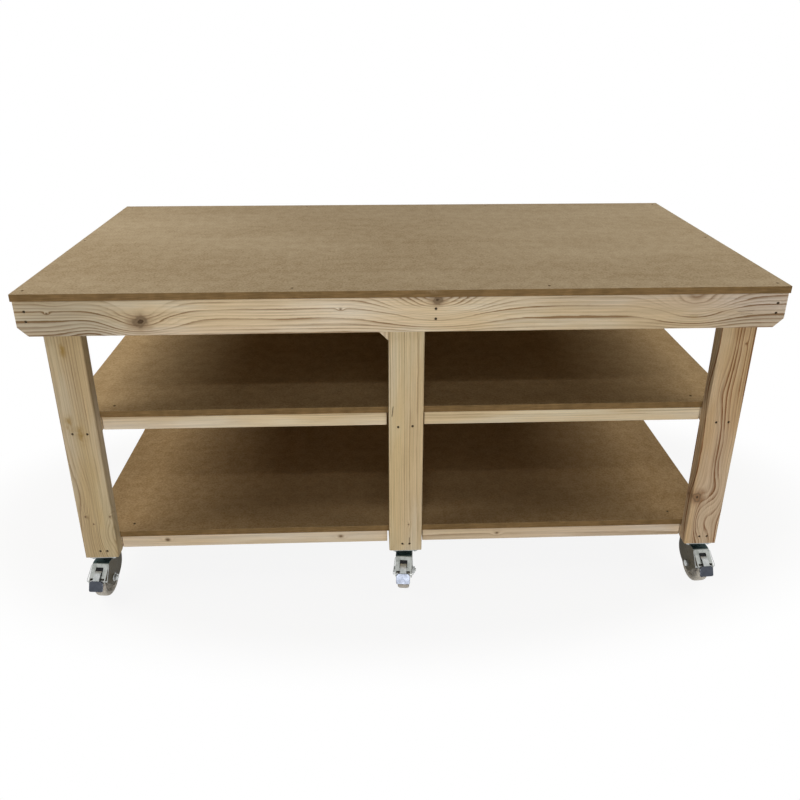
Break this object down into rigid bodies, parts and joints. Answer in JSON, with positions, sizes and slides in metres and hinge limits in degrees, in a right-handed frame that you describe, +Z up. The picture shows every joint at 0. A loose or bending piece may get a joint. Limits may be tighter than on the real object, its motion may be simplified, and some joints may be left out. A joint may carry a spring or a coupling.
{
  "type": "assembly table",
  "caption": "Rolling workshop assembly table: flat fibreboard top on an open softwood frame, board shelves between the legs and swivel castors with brake pedals.",
  "frame": {"origin": "on the floor, under the middle of the table", "axes": "+X along the table's length to the right, -Y towards the front, +Z up"},
  "size_m": [1.83, 0.9512, 0.9],
  "materials": {
    "fibreboard": "raw fibreboard, matt, with fine pale fibres, light scuffs and darker sawn edges",
    "softwood": "planed softwood, unfinished, with growth rings, knots and eased edges",
    "zinc_steel": "zinc-plated pressed steel, satin",
    "grey_nylon": "moulded grey nylon with a slightly scuffed tread",
    "slate_pedal": "plated steel pedal with a dark blue-grey satin sheen"
  },
  "bodies": {
    "table": {"table_top": "fibreboard", "upper_shelf": "fibreboard", "lower_shelf": "fibreboard", "front_apron": "softwood", "rear_apron": "softwood", "left_end_rail": "softwood", "right_end_rail": "softwood", "centre_cross_rail": "softwood", "leg_front_left": "softwood", "leg_front_middle": "softwood", "leg_front_right": "softwood", "leg_rear_left": "softwood", "leg_rear_middle": "softwood", "leg_rear_right": "softwood", "brace_front_middle": "softwood", "brace_rear_middle": "softwood", "upper_cross_rail_left": "softwood", "upper_cross_rail_middle": "softwood", "upper_cross_rail_right": "softwood", "upper_front_rail_left": "softwood", "upper_front_rail_right": "softwood", "upper_rear_rail_left": "softwood", "upper_rear_rail_right": "softwood", "lower_cross_rail_left": "softwood", "lower_cross_rail_middle": "softwood", "lower_cross_rail_right": "softwood", "lower_front_rail_left": "softwood", "lower_front_rail_right": "softwood", "lower_rear_rail_left": "softwood", "lower_rear_rail_right": "softwood", "castor_front_left_plate": "zinc_steel", "castor_front_middle_plate": "zinc_steel", "castor_front_right_plate": "zinc_steel", "castor_rear_left_plate": "zinc_steel", "castor_rear_middle_plate": "zinc_steel", "castor_rear_right_plate": "zinc_steel"},
    "castor_front_left_swivel": {"castor_front_left_fork": "zinc_steel", "castor_front_left_axle": "zinc_steel"},
    "castor_front_left_roller": {"castor_front_left_wheel": "grey_nylon"},
    "castor_front_left_brake": {"castor_front_left_pedal": "slate_pedal"},
    "castor_front_middle_swivel": {"castor_front_middle_fork": "zinc_steel", "castor_front_middle_axle": "zinc_steel"},
    "castor_front_middle_roller": {"castor_front_middle_wheel": "grey_nylon"},
    "castor_front_middle_brake": {"castor_front_middle_pedal": "slate_pedal"},
    "castor_front_right_swivel": {"castor_front_right_fork": "zinc_steel", "castor_front_right_axle": "zinc_steel"},
    "castor_front_right_roller": {"castor_front_right_wheel": "grey_nylon"},
    "castor_front_right_brake": {"castor_front_right_pedal": "slate_pedal"},
    "castor_rear_left_swivel": {"castor_rear_left_fork": "zinc_steel", "castor_rear_left_axle": "zinc_steel"},
    "castor_rear_left_roller": {"castor_rear_left_wheel": "grey_nylon"},
    "castor_rear_left_brake": {"castor_rear_left_pedal": "slate_pedal"},
    "castor_rear_middle_swivel": {"castor_rear_middle_fork": "zinc_steel", "castor_rear_middle_axle": "zinc_steel"},
    "castor_rear_middle_roller": {"castor_rear_middle_wheel": "grey_nylon"},
    "castor_rear_middle_brake": {"castor_rear_middle_pedal": "slate_pedal"},
    "castor_rear_right_swivel": {"castor_rear_right_fork": "zinc_steel", "castor_rear_right_axle": "zinc_steel"},
    "castor_rear_right_roller": {"castor_rear_right_wheel": "grey_nylon"},
    "castor_rear_right_brake": {"castor_rear_right_pedal": "slate_pedal"}
  },
  "joints": [
    {"name": "castor_front_left_swivel_turn", "type": "hinge", "parent": "table", "child": "castor_front_left_swivel", "pos_m": [-0.8295, -0.367, 0.11], "axis": [0, 0, 1], "continuous": true},
    {"name": "castor_front_left_wheel_roll", "type": "hinge", "parent": "castor_front_left_swivel", "child": "castor_front_left_roller", "pos_m": [-0.83281, -0.40486, 0.05], "axis": [0.9962, -0.0872, 0], "continuous": true},
    {"name": "castor_front_left_brake_press", "type": "hinge", "parent": "castor_front_left_swivel", "child": "castor_front_left_brake", "pos_m": [-0.83723, -0.45539, 0.07642], "axis": [0.9962, -0.0872, 0], "range_deg": [0, 15]},
    {"name": "castor_front_middle_swivel_turn", "type": "hinge", "parent": "table", "child": "castor_front_middle_swivel", "pos_m": [0, -0.367, 0.11], "axis": [0, 0, 1], "continuous": true},
    {"name": "castor_front_middle_wheel_roll", "type": "hinge", "parent": "castor_front_middle_swivel", "child": "castor_front_middle_roller", "pos_m": [-0.00331, -0.40486, 0.05], "axis": [0.9962, -0.0872, 0], "continuous": true},
    {"name": "castor_front_middle_brake_press", "type": "hinge", "parent": "castor_front_middle_swivel", "child": "castor_front_middle_brake", "pos_m": [-0.00773, -0.45539, 0.07642], "axis": [0.9962, -0.0872, 0], "range_deg": [0, 15]},
    {"name": "castor_front_right_swivel_turn", "type": "hinge", "parent": "table", "child": "castor_front_right_swivel", "pos_m": [0.8295, -0.367, 0.11], "axis": [0, 0, 1], "continuous": true},
    {"name": "castor_front_right_wheel_roll", "type": "hinge", "parent": "castor_front_right_swivel", "child": "castor_front_right_roller", "pos_m": [0.83215, -0.40491, 0.05], "axis": [0.9976, 0.0698, 0], "continuous": true},
    {"name": "castor_front_right_brake_press", "type": "hinge", "parent": "castor_front_right_swivel", "child": "castor_front_right_brake", "pos_m": [0.83569, -0.45552, 0.07642], "axis": [0.9976, 0.0698, 0], "range_deg": [0, 15]},
    {"name": "castor_rear_left_swivel_turn", "type": "hinge", "parent": "table", "child": "castor_rear_left_swivel", "pos_m": [-0.8295, 0.367, 0.11], "axis": [0, 0, 1], "continuous": true},
    {"name": "castor_rear_left_wheel_roll", "type": "hinge", "parent": "castor_rear_left_swivel", "child": "castor_rear_left_roller", "pos_m": [-0.83281, 0.40486, 0.05], "axis": [-0.9962, -0.0872, 0], "continuous": true},
    {"name": "castor_rear_left_brake_press", "type": "hinge", "parent": "castor_rear_left_swivel", "child": "castor_rear_left_brake", "pos_m": [-0.83723, 0.45539, 0.07642], "axis": [-0.9962, -0.0872, 0], "range_deg": [0, 15]},
    {"name": "castor_rear_middle_swivel_turn", "type": "hinge", "parent": "table", "child": "castor_rear_middle_swivel", "pos_m": [0, 0.367, 0.11], "axis": [0, 0, 1], "continuous": true},
    {"name": "castor_rear_middle_wheel_roll", "type": "hinge", "parent": "castor_rear_middle_swivel", "child": "castor_rear_middle_roller", "pos_m": [-0.00331, 0.40486, 0.05], "axis": [-0.9962, -0.0872, 0], "continuous": true},
    {"name": "castor_rear_middle_brake_press", "type": "hinge", "parent": "castor_rear_middle_swivel", "child": "castor_rear_middle_brake", "pos_m": [-0.00773, 0.45539, 0.07642], "axis": [-0.9962, -0.0872, 0], "range_deg": [0, 15]},
    {"name": "castor_rear_right_swivel_turn", "type": "hinge", "parent": "table", "child": "castor_rear_right_swivel", "pos_m": [0.8295, 0.367, 0.11], "axis": [0, 0, 1], "continuous": true},
    {"name": "castor_rear_right_wheel_roll", "type": "hinge", "parent": "castor_rear_right_swivel", "child": "castor_rear_right_roller", "pos_m": [0.83215, 0.40491, 0.05], "axis": [-0.9976, 0.0698, 0], "continuous": true},
    {"name": "castor_rear_right_brake_press", "type": "hinge", "parent": "castor_rear_right_swivel", "child": "castor_rear_right_brake", "pos_m": [0.83569, 0.45552, 0.07642], "axis": [-0.9976, 0.0698, 0], "range_deg": [0, 15]}
  ]
}
